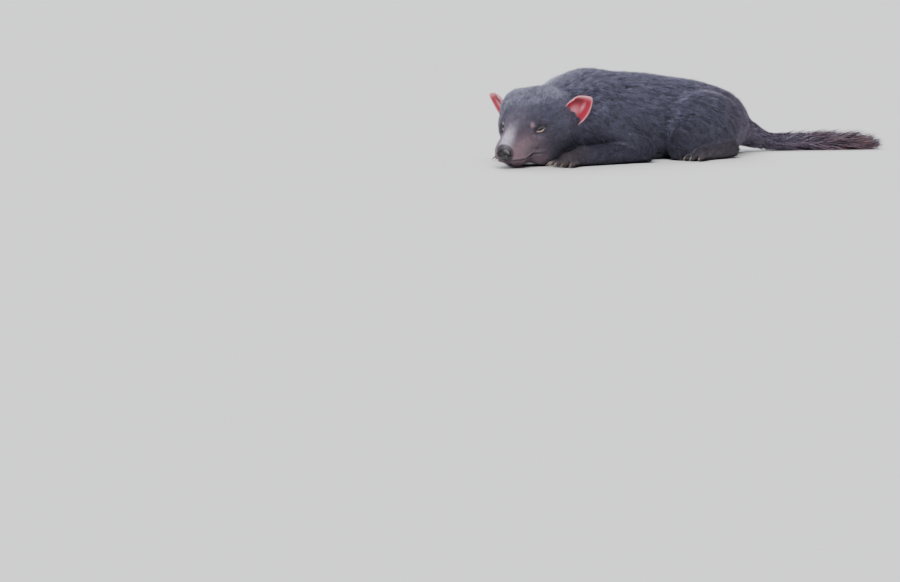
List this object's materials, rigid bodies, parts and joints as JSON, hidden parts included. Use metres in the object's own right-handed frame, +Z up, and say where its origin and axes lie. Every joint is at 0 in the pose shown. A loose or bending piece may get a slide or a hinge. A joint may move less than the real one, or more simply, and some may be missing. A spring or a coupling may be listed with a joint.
{
  "type": "tasmanian devil",
  "caption": "Life-size Tasmanian devil asleep on its belly, chin on the floor, head turned to its left, legs folded at its sides and tail laid out behind.",
  "frame": {"origin": "on the floor, under the middle of the model's bounding box", "axes": "-X towards the head, +X towards the tip of the tail, -Y out of the animal's left side, +Z up"},
  "size_m": [0.6194, 0.2198, 0.121],
  "materials": {
    "coat": "short dense blue-black fur with a soft sheen, browner over the rump and at the tip of the tail",
    "foot_skin": "dark thinly haired skin with blunt horn claws",
    "ear_skin": "thin red-pink skin, shiny inside the cup, paler at the rim",
    "nose_skin": "moist, finely pebbled",
    "eyeball": "wet, glossy"
  },
  "bodies": {
    "root": {"torso": "coat", "neck": "coat", "head": "coat", "lower_jaw": "coat", "nose": "nose_skin", "eye_left": "eyeball", "eye_right": "eyeball", "ear_left": "ear_skin", "ear_right": "ear_skin", "foreleg_left": "coat", "foreleg_right": "coat", "forepaw_left": "foot_skin", "forepaw_right": "foot_skin", "hindleg_left": "coat", "hindleg_right": "coat", "hindfoot_left": "foot_skin", "hindfoot_right": "foot_skin", "tail_root": "coat", "tail_brush": "coat"}
  },
  "joints": []
}
